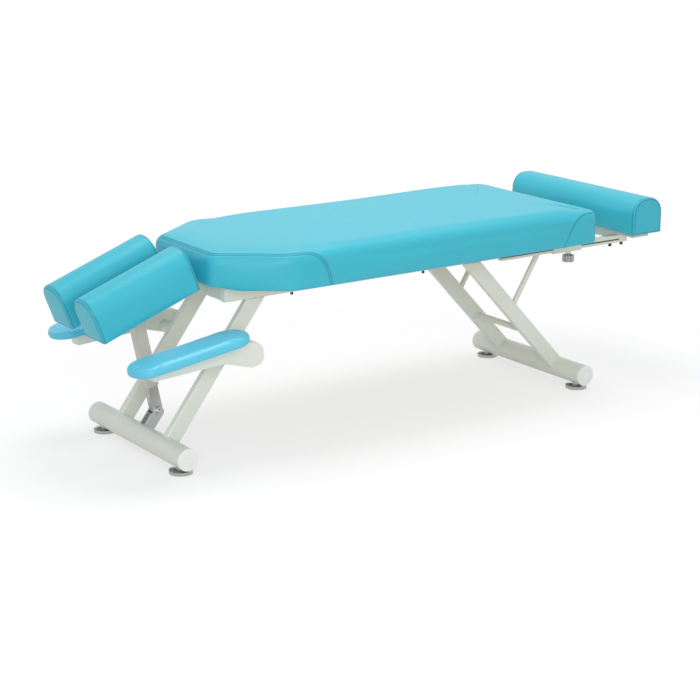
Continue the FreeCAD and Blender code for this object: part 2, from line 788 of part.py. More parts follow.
def strutClevis():
    inner = f"( {BAR_HALF_WIDTH} + clevis_gap )"
    outer = f"( {inner} + clevis_plate )"
    pieces = []
    for sign in SIDES.values():
        low, high = sideSpan(sign, inner, outer)
        half = "clevis_radius"
        pieces.append(makeBox("0", CLEVIS_REACH, low, high, f"0 - {half}", half))
        eye = ["clevis_radius", "clevis_plate", CLEVIS_REACH, low, "0"]
        pieces.append(makeCylinder("Y", *eye))
        low, high = sideSpan(sign, outer, f"{outer} + strut_pin_head_length")
        head = ["strut_pin_head", "strut_pin_head_length", CLEVIS_REACH, low, "0"]
        pieces.append(makeCylinder("Y", *head))
    pin = ["strut_pin_radius", f"2 * {outer}", CLEVIS_REACH, f"0 - {outer}", "0"]
    pieces.append(makeCylinder("Y", *pin))
    tube = ["base_tube_radius", f"2 * {outer}", "0", f"0 - {outer}", "0"]
    clevis = keep(makeCut(makeFuse(pieces), makeCylinder("Y", *tube)), "strut_clevis")
    angle = f"-1 * atan( {CLEVIS_RISE} / {CLEVIS_RUN} )"
    placeAt(clevis, "0 - head_base_x", "base_tube_z", angle)


# Armrests, drawn about their pivot on the head leg and then tilted
ARM_X = headLegX("arm_pivot_z", "0")


def placeArm(piece):
    return placeAt(piece, ARM_X, "arm_pivot_z", "0 - arm_tilt")


def armMount(side, sign):
    start = LEG_OUTER
    stop = "arm_inner_y - arm_side_gap"
    low, high = sideSpan(sign, start, stop)
    x = ARM_X
    z = "arm_pivot_z"
    boss = makeCylinder("Y", "arm_boss_radius", f"( {stop} ) - ( {start} )", x, low, z)
    low, high = sideSpan(sign, start, "arm_inner_y + arm_pin_depth")
    pin = makeCylinder("Y", "arm_pin_radius", f"( {high} ) - ( {low} )", x, low, z)
    keep(makeFuse([boss, pin]), f"arm_mount_{side}")


def armBracket(side, sign):
    blank = DOC.addObject("PartDesign::Body", "ArmBlank")
    low, high = sideSpan(sign, "arm_inner_y", "arm_inner_y + arm_thickness")
    corners = [
        ("0 - arm_tip_x", "arm_top"),
        ("0 - arm_shoulder_x", "arm_top"),
        ("arm_end_x", "arm_end_top"),
        ("arm_end_x", "0 - arm_end_bottom"),
        ("arm_heel_x", "0 - arm_end_bottom"),
        ("0 - arm_waist_x", "arm_waist_z"),
        ("0 - arm_tip_x", "arm_tip_z"),
    ]
    addPad(blank, "XZ_Plane", corners, low, high)
    end_face = value("arm_end_x")

    def atFootEnd(edge):
        return runsAlong(edge, "y") and abs(middle(edge).x - end_face) < 1e-3

    addFillet(blank, atFootEnd, "arm_end_round")
    depth = "arm_pin_depth + arm_side_gap"
    low, high = sideSpan(sign, "arm_inner_y", f"arm_inner_y + {depth}")
    bore = makeCylinder("Y", "arm_pin_radius + hinge_fit", depth, "0", low, "0")
    placeArm(keep(makeCut(blank, bore), f"arm_bracket_{side}"))


def armPad(side, sign):
    body = makeBody(f"arm_pad_{side}")
    half_length = "pad_length / 2"
    left = f"0 - pad_centre_x - {half_length}"
    right = f"0 - pad_centre_x + {half_length}"
    low, high = sideSpan(sign, "pad_centre_y - pad_width / 2", "pad_centre_y + pad_width / 2")
    corners = rectangle(left, right, low, high)
    addPad(body, "XY_Plane", corners, "arm_top", "arm_top + pad_thickness")
    addFillet(body, lambda edge: runsAlong(edge, "z"), "pad_end_round")
    addFillet(body, lambda edge: not runsAlong(edge, "z"), "pad_edge")
    placeArm(body)


# Guide sleeves beside the side rails and the slotted bars that slide in them
GUIDE_INNER = "( rail_y + rail_width / 2 )"
GUIDE_OUTER = f"( {GUIDE_INNER} + guide_width )"
GUIDE_LOW = f"( {RAIL_LOW} - guide_drop )"
GUIDE_HIGH = f"( {GUIDE_LOW} + guide_height )"
SLIDE_INNER = f"( {GUIDE_INNER} + guide_wall + slide_gap )"
SLIDE_OUTER = f"( {GUIDE_OUTER} - guide_wall - slide_gap )"
SLIDE_LOW = f"( {GUIDE_LOW} + guide_wall + slide_gap )"
SLIDE_HIGH = f"( {GUIDE_HIGH} - guide_wall - slide_gap )"
SLIDE_MIDDLE = f"( ( {SLIDE_INNER} + {SLIDE_OUTER} ) / 2 )"


def slideGuide(side, sign):
    blank = DOC.addObject("PartDesign::Body", "GuideBlank")
    ends = ["0 + guide_head_x", "guide_foot_x"]
    low, high = sideSpan(sign, GUIDE_INNER, GUIDE_OUTER)
    addPad(blank, "YZ_Plane", rectangle(low, high, GUIDE_LOW, GUIDE_HIGH), *ends)
    low, high = sideSpan(sign, f"{GUIDE_INNER} + guide_wall", f"{GUIDE_OUTER} - guide_wall")
    cavity = rectangle(low, high, f"{GUIDE_LOW} + guide_wall", f"{GUIDE_HIGH} - guide_wall")
    addPocket(blank, "YZ_Plane", cavity, *ends)
    if sign > 0:
        blank.Label = f"slide_guide_{side}"
        NODES.append(blank)
        return
    y = f"{sign} * {SLIDE_MIDDLE}"
    low = f"( {GUIDE_LOW} - knob_boss_height )"
    boss = makeCylinder("Z", "knob_boss_radius", "knob_boss_height", "knob_x", y, low)
    depth = "knob_boss_height + guide_wall"
    bore = "knob_stem_radius + thread_clearance"
    hole = makeCylinder("Z", bore, depth, "knob_x", y, low)
    keep(makeCut(makeFuse([blank, boss]), hole), f"slide_guide_{side}")


def slideBar(side, sign):
    low, high = sideSpan(sign, SLIDE_INNER, SLIDE_OUTER)
    bar = makeBox("slide_head_x", "slide_foot_x", low, high, SLIDE_LOW, SLIDE_HIGH)
    low, high = sideSpan(sign, f"{SLIDE_OUTER} - slot_depth", SLIDE_OUTER)
    bottom = f"{SLIDE_LOW} + slot_rise"
    slot_foot = "slide_foot_x - slot_end"
    slot = makeBox("slide_head_x", slot_foot, low, high, bottom, f"{bottom} + slot_height")
    keep(makeCut(bar, slot), f"slide_bar_{side}")


def slideBolt(label, x, sign):
    y = f"{sign} * {SLIDE_MIDDLE}"
    low = f"{SLIDE_LOW} - slide_bolt_drop"
    keep(makeCylinder("Z", "slide_bolt_radius", "slide_bolt_drop", x, y, low), label)


def slideCross():
    high_x = "slide_foot_x - slide_bar_end"
    low_x = f"{high_x} - slide_bar_width"
    low_z = f"{SLIDE_HIGH} - slide_bar_drop"
    span = [f"0 - {SLIDE_INNER}", SLIDE_INNER]
    keep(makeBox(low_x, high_x, *span, low_z, "bolster_z"), "slide_cross_bar")


# Reach of the bolster's board along X and Y, drawn in by an inset from the bolster's sides
def bolsterBoardSpans(inset):
    reach = f"( bolster_half_length - {inset} )"
    high_x = f"bolster_head_x + bolster_width - {inset}"
    return f"bolster_head_x + {inset}", high_x, f"0 - {reach}", reach


def bolsterBoard():
    high = "bolster_z + bolster_board_thickness"
    spans = bolsterBoardSpans("bolster_board_inset")
    keep(makeBox(*spans, "0 + bolster_z", high), "bolster_board")


def footBolster():
    body = makeBody("foot_bolster")
    high = "bolster_z + bolster_height"
    corners = rectangle("0 + bolster_head_x", "bolster_head_x + bolster_width", "bolster_z", high)
    addPad(body, "XZ_Plane", corners, "0 - bolster_half_length", "bolster_half_length")
    top = value(high)

    def alongTop(edge):
        return runsAlong(edge, "y") and highest(edge, top)

    addFillet(body, alongTop, "bolster_crown")
    recess = rectangle(*bolsterBoardSpans("( bolster_board_inset - recess_gap )"))
    depth = "bolster_board_thickness + recess_gap"
    addPocket(body, "XY_Plane", recess, "bolster_z", f"bolster_z + {depth}")


# Lobed lock knob below the guide: its stem goes through the boss to the bar
def lockKnob():
    y = f"0 - {SLIDE_MIDDLE}"
    top = f"( {GUIDE_LOW} - knob_drop )"
    low = f"( {top} - knob_height )"
    head = makeCylinder("Z", "knob_radius", "knob_height", "knob_x", y, low)
    stem_length = f"{SLIDE_LOW} - thread_clearance - {top}"
    stem = makeCylinder("Z", "knob_stem_radius", stem_length, "knob_x", y, top)
    notches = []
    for number in range(SIZES["knob_lobes"]):
        angle = f"( {number} * 360 / knob_lobes )"
        ring = "( knob_radius + knob_lobe_inset )"
        notch_x = f"knob_x + {ring} * cos( {angle} )"
        notch_y = f"{y} + {ring} * sin( {angle} )"
        notch = ["knob_lobe_radius", "knob_height", notch_x, notch_y, low]
        notches.append(makeCylinder("Z", *notch))
    keep(makeFuse([makeCut(head, makeFuse(notches)), stem]), "lock_knob")


for end_name, end_x in BASES.items():
    baseTube(end_name, end_x)
    for side_name, side_sign in SIDES.items():
        baseCap(end_name, end_x, side_name, side_sign)
        levellingFoot(end_name, end_x, side_name, side_sign)
for side_name, side_sign in SIDES.items():
    legPair(side_name, side_sign)
    stay(side_name, side_sign)
    sideRail(side_name, side_sign)
    headRoll(side_name, side_sign)
    headBoard(side_name, side_sign)
    hingeEar(side_name, side_sign)
    armMount(side_name, side_sign)
    armBracket(side_name, side_sign)
    armPad(side_name, side_sign)
    slideGuide(side_name, side_sign)
    slideBar(side_name, side_sign)
    slideBolt(f"slide_bolt_head_{side_name}", "slide_bolt_head_x", side_sign)
    slideBolt(f"slide_bolt_foot_{side_name}", "slide_bolt_foot_x", side_sign)
    cushionBolt(f"cushion_bolt_head_{side_name}", "0 - cushion_bolt_head_x", side_sign)
    cushionBolt(f"cushion_bolt_foot_{side_name}", "0 + cushion_bolt_foot_x", side_sign)
crossTube("head_cross_tube", "( rail_width / 2 - frame_head_x )")
crossTube("head_leg_cross_tube", "( 0 - head_leg_top_x )")
crossTube("foot_leg_cross_tube", "( 0 + foot_leg_top_x )")
crossTube("foot_cross_tube", "( frame_foot_x - rail_width / 2 )")
crossbar()
mainBoard()
mainCushion()
headFork()
hingePin()
strutClevis()
strutBar()
strutSleeve()
slideCross()
bolsterBoard()
footBolster()
lockKnob()

DOC.recompute()
for item in DOC.Objects:
    if "Invalid" in item.State or "Error" in item.State:
        raise ValueError(f"{item.Label} failed: {item.State}")
os.makedirs("parts", exist_ok=True)
for node in NODES:
    if node.Shape.isNull() or not node.Shape.isValid():
        raise ValueError(f"{node.Label} has no valid shape")
    node.Shape.exportStep(f"parts/{node.Label}.step")
print(len(NODES), "nodes")
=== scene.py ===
import json
import math

import bpy
import numpy as np
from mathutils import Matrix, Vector


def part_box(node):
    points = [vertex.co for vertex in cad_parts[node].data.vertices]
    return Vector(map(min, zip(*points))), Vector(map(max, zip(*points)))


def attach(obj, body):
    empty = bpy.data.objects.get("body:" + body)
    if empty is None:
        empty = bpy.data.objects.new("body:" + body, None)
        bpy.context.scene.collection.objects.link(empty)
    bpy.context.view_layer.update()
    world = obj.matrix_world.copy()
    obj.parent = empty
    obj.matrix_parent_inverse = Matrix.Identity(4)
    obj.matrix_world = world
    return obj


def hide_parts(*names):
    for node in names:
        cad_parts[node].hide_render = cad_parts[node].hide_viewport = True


# Massage bed: head end at -X, foot end at +X, near side at -Y, sizes in millimetres unless said
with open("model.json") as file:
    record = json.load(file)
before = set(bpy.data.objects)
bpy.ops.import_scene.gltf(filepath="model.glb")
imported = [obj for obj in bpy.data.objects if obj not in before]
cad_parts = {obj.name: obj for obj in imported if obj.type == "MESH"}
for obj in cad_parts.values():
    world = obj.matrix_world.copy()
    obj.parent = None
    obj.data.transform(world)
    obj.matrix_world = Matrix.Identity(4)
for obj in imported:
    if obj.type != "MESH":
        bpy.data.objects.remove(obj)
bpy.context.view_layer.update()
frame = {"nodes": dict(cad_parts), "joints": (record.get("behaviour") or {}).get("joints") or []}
nodes = frame["nodes"]
metre = 0.001  # a millimetre in metres
pivots = {joint["name"]: [place / metre for place in joint.get("pos_m") or (0, 0, 0)]
          for joint in frame["joints"]}
print("frame loaded:", len(nodes), "nodes")


# A node's box in millimetres: (lowest corner, highest corner)
def boxOf(node):
    return [np.array(corner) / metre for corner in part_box(node)]


# Materials

# sRGB hex to the linear colour that a shader takes
def linear(hexColour):
    srgb = np.array([int(hexColour[i:i + 2], 16) / 255 for i in (1, 3, 5)])
    channels = np.where(srgb <= 0.04045, srgb / 12.92, ((srgb + 0.055) / 1.055) ** 2.4)
    return (*channels.tolist(), 1)


# Adds a node: values go to its inputs, sources are (node, output) links, the rest are its settings
def addNode(tree, kind, values=None, sources=None, **settings):
    node = tree.nodes.new(kind)
    for name, setting in settings.items():
        setattr(node, name, setting)
    for name, setting in (values or {}).items():
        node.inputs[name].default_value = setting
    for name, (source, output) in (sources or {}).items():
        tree.links.new(source.outputs[output], node.inputs[name])
    return node


# A material with its object coordinates and a Principled shader wired to the output
def newMaterial(name, **shaderValues):
    material = bpy.data.materials.new(name)
    material.use_nodes = True
    tree = material.node_tree
    tree.nodes.clear()
    coords = addNode(tree, "ShaderNodeTexCoord")
    shader = addNode(tree, "ShaderNodeBsdfPrincipled", shaderValues)
    addNode(tree, "ShaderNodeOutputMaterial", None, {"Surface": (shader, "BSDF")})
    return material, tree, coords, shader


# How many patterns of a size in millimetres go into a metre
def perMetre(size):
    return 1 / (size * metre)


# PVC upholstery vinyl: a foam-backed sheet with a fine leather grain pressed in.
# Satin with wide soft highlights. The seam grooves also get a painted shade: a darker colour where shade falls
# in them.
vinylLook = {
    "colour": "#32B5C9",
    "paler": "#38B7CB",
    # painted shade: the darker colour laid into the seam grooves
    "seam": "#0A7F9C",
    "roughness": 0.42,
    "grain": 1.6,  # real grain is about 1 mm, drawn coarser so that it shows
    "grainDepth": 0.05,
    "mottle": 160,  # soft patches of colour
    "handling": 25,  # patches of gloss
}
# The arm pads are covered in the same vinyl, rubbed smoother and painted paler: a lit copy of the vinyl whose
# colour stands for the stronger light on the pads' tops.
armVinylLook = dict(vinylLook, colour="#57C1DD", paler="#5CC4DF", roughness=0.33, grainDepth=0.03)


def upholsteryVinyl(name, look):
    material, tree, coords, shader = newMaterial(name, **{"Specular IOR Level": 0.5, "IOR": 1.5})
    place = {"Vector": (coords, "Object")}
    mottle = addNode(tree, "ShaderNodeTexNoise", {"Scale": perMetre(look["mottle"]), "Detail": 2}, place)
    tone = addNode(tree, "ShaderNodeMix", {6: linear(look["colour"]), 7: linear(look["paler"])},
                   {0: (mottle, "Fac")}, data_type="RGBA")
    # painted shade: the seam mask from the grooves darkens the colour in the seam grooves
    seam = addNode(tree, "ShaderNodeAttribute", attribute_name="seam")
    shade = addNode(tree, "ShaderNodeMix", {7: linear(look["seam"])},
                    {0: (seam, "Fac"), 6: (tone, 2)}, data_type="RGBA")
    tree.links.new(shade.outputs[2], shader.inputs["Base Color"])
    handling = addNode(tree, "ShaderNodeTexNoise", {"Scale": perMetre(look["handling"]), "Detail": 3}, place)
    rough = addNode(tree, "ShaderNodeMapRange",
                    {"From Min": 0.3, "From Max": 0.7, "To Min": look["roughness"] - 0.015,
                     "To Max": look["roughness"] + 0.02}, {"Value": (handling, "Fac")})
    tree.links.new(rough.outputs["Result"], shader.inputs["Roughness"])
    cells = addNode(tree, "ShaderNodeTexVoronoi", {"Scale": perMetre(look["grain"]), "Randomness": 0.9},
                    place, feature="SMOOTH_F1")
    fine = addNode(tree, "ShaderNodeTexNoise", {"Scale": perMetre(look["grain"] / 3), "Detail": 2}, place)
    coarse = addNode(tree, "ShaderNodeBump", {"Distance": look["grainDepth"] * metre},
                     {"Height": (cells, "Distance")})
    relief = addNode(tree, "ShaderNodeBump", {"Distance": look["grainDepth"] * 0.4 * metre},
                     {"Height": (fine, "Fac"), "Normal": (coarse, "Normal")})
    tree.links.new(relief.outputs["Normal"], shader.inputs["Normal"])
    return material


# Powder-coated steel: baked paint, slightly wavy like orange peel, half gloss
paintLook = {"patch": 90, "gloss": 12, "detail": 3, "glossSpread": (-0.05, 0.07),
             "relief": 2.2, "height": 0.05}
# Moulded polypropylene and similar: even colour, faint matt texture of the mould
mouldLook = {"patch": 40, "gloss": 6, "detail": 2, "glossSpread": (-0.05, 0.05),
             "relief": 0.9, "height": 0.02}


# Paint or plastic: two tones in soft patches, an uneven gloss and a fine relief, each pattern's size
# in millimetres
def coatedFinish(name, colour, shaded, roughness, look):
    material, tree, coords, shader = newMaterial(name)
    place = {"Vector": (coords, "Object")}
    patches = addNode(tree, "ShaderNodeTexNoise",
                      {"Scale": perMetre(look["patch"]), "Detail": look["detail"]}, place)
    tone = addNode(tree, "ShaderNodeMix", {6: linear(colour), 7: linear(shaded)},
                   {0: (patches, "Fac")}, data_type="RGBA")
    tree.links.new(tone.outputs[2], shader.inputs["Base Color"])
    glossy = addNode(tree, "ShaderNodeTexNoise",
                     {"Scale": perMetre(look["gloss"]), "Detail": look["detail"]}, place)
    low, high = look["glossSpread"]
    rough = addNode(tree, "ShaderNodeMapRange",
                    {"From Min": 0.3, "From Max": 0.7, "To Min": roughness + low, "To Max": roughness + high},
                    {"Value": (glossy, "Fac")})
    tree.links.new(rough.outputs["Result"], shader.inputs["Roughness"])
    peel = addNode(tree, "ShaderNodeTexNoise", {"Scale": perMetre(look["relief"]), "Detail": 2}, place)
    relief = addNode(tree, "ShaderNodeBump", {"Distance": look["height"] * metre}, {"Height": (peel, "Fac")})
    tree.links.new(relief.outputs["Normal"], shader.inputs["Normal"])
    return material


# Bare metals: plated or plain steel with faint handling marks in the gloss, or with drawn lines along
# the piece, which are noise squeezed along it
def bareMetal(name, colour, low, high, markSize=18, brush=None):
    material, tree, coords, shader = newMaterial(name, Metallic=1.0)
    shader.inputs["Base Color"].default_value = linear(colour)
    if brush:
        stretch = addNode(tree, "ShaderNodeMapping", {"Scale": brush}, {"Vector": (coords, "Object")})
        marks = addNode(tree, "ShaderNodeTexNoise", {"Scale": 900, "Detail": 3},
                        {"Vector": (stretch, "Vector")})
        lines = addNode(tree, "ShaderNodeBump", {"Distance": 0.03 * metre}, {"Height": (marks, "Fac")})
        tree.links.new(lines.outputs["Normal"], shader.inputs["Normal"])
    else:
        marks = addNode(tree, "ShaderNodeTexNoise", {"Scale": perMetre(markSize), "Detail": 4},
                        {"Vector": (coords, "Object")})
    rough = addNode(tree, "ShaderNodeMapRange",
                    {"From Min": 0.3, "From Max": 0.7, "To Min": low, "To Max": high},
                    {"Value": (marks, "Fac")})
    tree.links.new(rough.outputs["Result"], shader.inputs["Roughness"])
    return material


# Birch plywood base board, lacquered: long grain along X, soft brown lines
def plywood(name):
    material, tree, coords, shader = newMaterial(name, Roughness=0.55)
    along = addNode(tree, "ShaderNodeMapping", {"Scale": (3, 40, 40)}, {"Vector": (coords, "Object")})
    grain = addNode(tree, "ShaderNodeTexNoise", {"Scale": 6, "Detail": 6, "Distortion": 0.6},
                    {"Vector": (along, "Vector")})
    tone = addNode(tree, "ShaderNodeMix", {6: linear("#C9B48C"), 7: linear("#A98E62")},
                   {0: (grain, "Fac")}, data_type="RGBA")
    tree.links.new(tone.outputs[2], shader.inputs["Base Color"])
    lines = addNode(tree, "ShaderNodeBump", {"Distance": 0.08 * metre}, {"Height": (grain, "Fac")})
    tree.links.new(lines.outputs["Normal"], shader.inputs["Normal"])
    return material


# Polyester sewing thread in the vinyl's colour: fine twisted yarn with a slight sheen
def sewingThread(name):
    material, tree, coords, shader = newMaterial(name, Roughness=0.5)
    yarn = addNode(tree, "ShaderNodeTexNoise", {"Scale": perMetre(0.6), "Detail": 2},
                   {"Vector": (coords, "Object")})
    tone = addNode(tree, "ShaderNodeMix", {6: linear("#2A93AC"), 7: linear("#45A9C0")},
                   {0: (yarn, "Fac")}, data_type="RGBA")
    tree.links.new(tone.outputs[2], shader.inputs["Base Color"])
    twist = addNode(tree, "ShaderNodeBump", {"Distance": 0.08 * metre}, {"Height": (yarn, "Fac")})
    tree.links.new(twist.outputs["Normal"], shader.inputs["Normal"])
    return material


vinyl = upholsteryVinyl("pvcUpholsteryVinyl", vinylLook)
# painted light: the arm pads' vinyl is a paler, lit copy of the cushion vinyl
armVinyl = upholsteryVinyl("armVinylWithPaintedLight", armVinylLook)
ivoryPaint = coatedFinish("ivoryPowderCoat", "#E6E9DF", "#DEE2D6", 0.36, paintLook)
sleevePaint = coatedFinish("stonePowderCoat", "#D3CFC4", "#C9C5B9", 0.42, paintLook)
zincCasting = bareMetal("castZincAlloy", "#A4A6A3", 0.32, 0.45, 6)
chromePlate = bareMetal("chromePlatedSteel", "#AEB3B1", 0.07, 0.16)
plainSteel = bareMetal("drawnSteel", "#B4B5B1", 0.3, 0.45, brush=(1, 1, 0.04))
blackOxide = coatedFinish("blackOxideSteel", "#1B1B1D", "#242426", 0.42, paintLook)
capPlastic = coatedFinish("mouldedPolypropylene", "#F5F6F2", "#EAEBE7", 0.42, mouldLook)
darkNylon = coatedFinish("darkNylon", "#2B2D2D", "#292A2A", 0.5, mouldLook)
boardPlywood = plywood("birchPlywood")
thread = sewingThread("polyesterThread")

# Which finish each kept node takes: the first whose word is in its name
finishByName = [
    ("levelling_foot", chromePlate), ("strut_clevis", chromePlate), ("hinge_pin", chromePlate),
    ("lock_knob", zincCasting), ("slide_bolt", blackOxide), ("strut_bar", plainSteel),
    ("strut_sleeve", sleevePaint), ("cushion_bolt", blackOxide), ("_cap_", capPlastic),
    ("board", boardPlywood), ("", ivoryPaint),
]
for nodeName, node in nodes.items():
    finish = next(material for word, material in finishByName if word in nodeName)
    if not node.data.materials:
        node.data.materials.append(finish)
    for materialSlot in node.material_slots:
        materialSlot.material = finish
print("materials assigned")


# Surfaces

# Closed outline of straight runs joined by arcs. At each corner the arc starts radius * tan(turn / 2)
# before it. Points are spread by arc length, closer together near the crowded places along the
# first axis. The first corner has no radius and lies on the line of symmetry.
loopFineness = {"arcPoints": 33, "trials": 20001, "crowding": 4.0, "fade": 4}


def roundedLoop(corners, radii, count, crowded=()):
    corners = np.array(corners, float)
    radii = np.array(radii, float)
    before = np.roll(corners, 1, 0)
    after = np.roll(corners, -1, 0)
    inward = (corners - before) / np.linalg.norm(corners - before, axis=1)[:, None]
    outward = (after - corners) / np.linalg.norm(after - corners, axis=1)[:, None]
    bend = inward[:, 0] * outward[:, 1] - inward[:, 1] * outward[:, 0]
    turn = np.arctan2(bend, (inward * outward).sum(1))
    start = corners - inward * (radii * np.tan(turn / 2))[:, None]
    left = np.stack([-inward[:, 1], inward[:, 0]], 1)
    centre = start + left * radii[:, None]
    sweep = np.linspace(0, 1, loopFineness["arcPoints"])
    angle = np.arctan2(-left[:, 1], -left[:, 0])[:, None] + turn[:, None] * sweep
    normals = np.stack([np.cos(angle), np.sin(angle)], 2)
    points = (centre[:, None] + normals * radii[:, None, None]).reshape(-1, 2)
    normals = normals.reshape(-1, 2)
    points = np.vstack([points, points[:1]])
    normals = np.vstack([normals, normals[:1]])
    length = np.concatenate([[0], np.cumsum(np.linalg.norm(np.diff(points, axis=0), axis=1))])
    fine = np.linspace(0, length[-1], loopFineness["trials"])
    across = np.interp(fine, length, points[:, 0])
    weight = np.ones_like(fine)
    for place, width in crowded:
        beyond = (np.abs(across - place) - width) / loopFineness["fade"]
        weight += loopFineness["crowding"] / (1 + np.exp(beyond))
    travelled = np.concatenate([[0], np.cumsum((weight[1:] + weight[:-1]) / 2)])
    places = np.interp(np.linspace(0, travelled[-1], count, endpoint=False), travelled, fine)
    loop = np.stack([np.interp(places, length, points[:, i]) for i in (0, 1)], 1)
    facing = np.stack([np.interp(places, length, normals[:, i]) for i in (0, 1)], 1)
    facing /= np.linalg.norm(facing, axis=1)[:, None]
    return {"loop": loop, "facing": facing, "places": places, "total": length[-1]}


# Rings of a padded block from its bottom's middle to its top's middle. Each row is
# (inset, share, level); edges are quarter circles, sides bow out, the end faces crown. The stage
# counts the five stretches, and the run is the way travelled up from the bottom face. The rings of the
# end faces are spread by a power of their number, closer together near the edge.
ringSpread = {"bottomPower": 0.625, "topPower": 1.6, "rimRings": 8, "rimStart": 0.7}


def blockRings(size, fineness=1.0):
    low, high = size["low"], size["high"]
    bottomRound, topRound = size["bottomRound"], size["topRound"]

    def steps(name):
        return np.linspace(0, 1, max(3, round(size[name] * fineness)))

    share = 1 - steps("bottomRings") ** ringSpread["bottomPower"]
    inset, under = np.full_like(share, size.get("rim", bottomRound)), 1 - share
    if "rim" in size:  # more rings in the rim, where the lip begins
        rimRings, rimStart = ringSpread["rimRings"], ringSpread["rimStart"]
        drawn = np.linspace(size["rim"], bottomRound, rimRings + 1)[1:]
        under = np.append(under * rimStart, np.linspace(rimStart, 1, rimRings + 1)[1:])
        share, inset = np.append(share, 0 * drawn), np.append(inset, drawn)
    bottomRows = np.stack([inset, share, low - size["bottomCrown"] * (1 - (1 - share) ** 2)], 1)
    quarter = steps("bottomRoundRings")
    bottomEdge = np.stack([bottomRound * (1 - np.sin(quarter * math.pi / 2)), 0 * quarter,
                           low + bottomRound * (1 - np.cos(quarter * math.pi / 2))], 1)
    side = steps("sideRings")
    sideRows = np.stack([-size["bow"] * np.sin(side * math.pi), 0 * side,
                         low + bottomRound + side * (high - topRound - low - bottomRound)], 1)
    upper = steps("topRoundRings")
    topEdge = np.stack([topRound * (1 - np.cos(upper * math.pi / 2)), 0 * upper,
                        high - topRound * (1 - np.sin(upper * math.pi / 2))], 1)
    inward = steps("topRings") ** ringSpread["topPower"]
    topRows = np.stack([0 * inward + topRound, inward, high + size["topCrown"] * (1 - (1 - inward) ** 2)], 1)
    stretches = [(bottomRows, under), (bottomEdge, quarter), (sideRows, side),
                 (topEdge, upper), (topRows, inward)]
    rows = np.vstack([bottomRows] + [part[1:] for part, _ in stretches[1:]])
    stage = np.concatenate([stretches[0][1]]
                           + [number + along[1:] for number, (_, along) in enumerate(stretches[1:], 1)])
    run = np.concatenate([[0], np.cumsum(np.hypot(*np.diff(rows[:, [0, 2]], axis=0).T))])
    return rows, stage, run - run[len(bottomRows) - 1]


# The underside's rim hangs a lip lower round the board, on the long sides. Down the side the drop
# fades with height; under the cushion it fades within a few millimetres, where the board begins.
def hangLip(grid, stage, outline, lip):
    flat = grid[..., :2]
    fromEdge = np.linalg.norm(flat - outline["loop"][None], axis=2)
    across = np.clip((np.abs(outline["loop"][:, 1]) - lip["from"]) / (lip["to"] - lip["from"]), 0, 1)
    across = across ** 2 * (3 - 2 * across)
    under = np.clip((lip["width"] - fromEdge) / lip["wall"], 0, 1)
    side = np.clip(3 - stage, 0, 1)[:, None]
    drop = lip["depth"] * across[None] * np.where(stage[:, None] <= 1, under, side)
    return grid - np.stack([0 * drop, 0 * drop, drop], 2)


# Skin of a padded block: the outline is drawn in by each ring's inset along its normal, then
# pulled towards the spine (a short segment in the middle) by the ring's share from 0 to 1.
def skin(outline, rows, spine):
    base = outline["loop"][None] - outline["facing"][None] * rows[:, 0, None, None]
    start, end = np.array(spine[0], float), np.array(spine[1], float)
    along = np.clip(((base - start) @ (end - start)) / ((end - start) ** 2).sum(), 0, 1)
    middle = start + along[..., None] * (end - start)
    flat = base + (middle - base) * rows[:, 1, None, None]
    height = np.broadcast_to(rows[:, 2, None], flat.shape[:2])
    return np.concatenate([flat, height[..., None]], 2)


# Values of a grid between its points: rows at rowAt, columns at columnAt, which close round the loop
def between(grid, rowAt, columnAt):
    row = np.clip(np.floor(rowAt).astype(int), 0, grid.shape[0] - 2)
    column = np.floor(columnAt).astype(int)
    down, across = (rowAt - row)[..., None], (columnAt - column)[..., None]
    column, following = column % grid.shape[1], (column + 1) % grid.shape[1]
    upper = grid[row, column] * (1 - across) + grid[row, following] * across
    lower = grid[row + 1, column] * (1 - across) + grid[row + 1, following] * across
    return upper * (1 - down) + lower * down


# Outward normals of a grid that is closed round its loop: cross product of its two directions
def gridNormals(grid, outward):
    around = np.roll(grid, -1, 1) - np.roll(grid, 1, 1)
    up = np.gradient(grid, axis=0)
    cross = np.cross(around, up) * outward
    return cross / np.maximum(np.linalg.norm(cross, axis=2), 1e-9)[..., None]


# Vertices and faces of a grid whose points that meet are one vertex. Faces that lose a side at the
# spine's ends become triangles.
def weldGrid(grid, flip):
    rings, count = grid.shape[:2]
    rounded = np.round(grid.reshape(-1, 3) + 0.003, 2)
    _, first, welded = np.unique(rounded, axis=0, return_index=True, return_inverse=True)
    index = welded.reshape(rings, count)
    following = np.roll(index, -1, 1)
    quads = np.stack([index[:-1], following[:-1], following[1:], index[1:]], 2).reshape(-1, 4)
    topEnd = quads[:, 2] == quads[:, 3]
    bottomEnd = quads[:, 0] == quads[:, 1]
    faces = quads[~topEnd & ~bottomEnd].tolist() + quads[topEnd & ~bottomEnd][:, :3].tolist()
    faces += quads[bottomEnd & ~topEnd][:, 1:].tolist()
    if flip:
        faces = [face[::-1] for face in faces]
    return first, index, faces


def linkMesh(name, points, faces):
    mesh = bpy.data.meshes.new(name)
    mesh.from_pydata((np.asarray(points) * metre).tolist(), [], faces)
    piece = bpy.data.objects.new(name, mesh)
    bpy.context.scene.collection.objects.link(piece)
    return piece


# Cloth pass: the welded coarse skin swells under air pressure while its seams and underside are
# held. Returns how far each grid point moved, never more than the cap.
clothLook = {"pressure": 4.0, "frames": 20, "quality": 5, "tension": 18, "bending": 3.0}


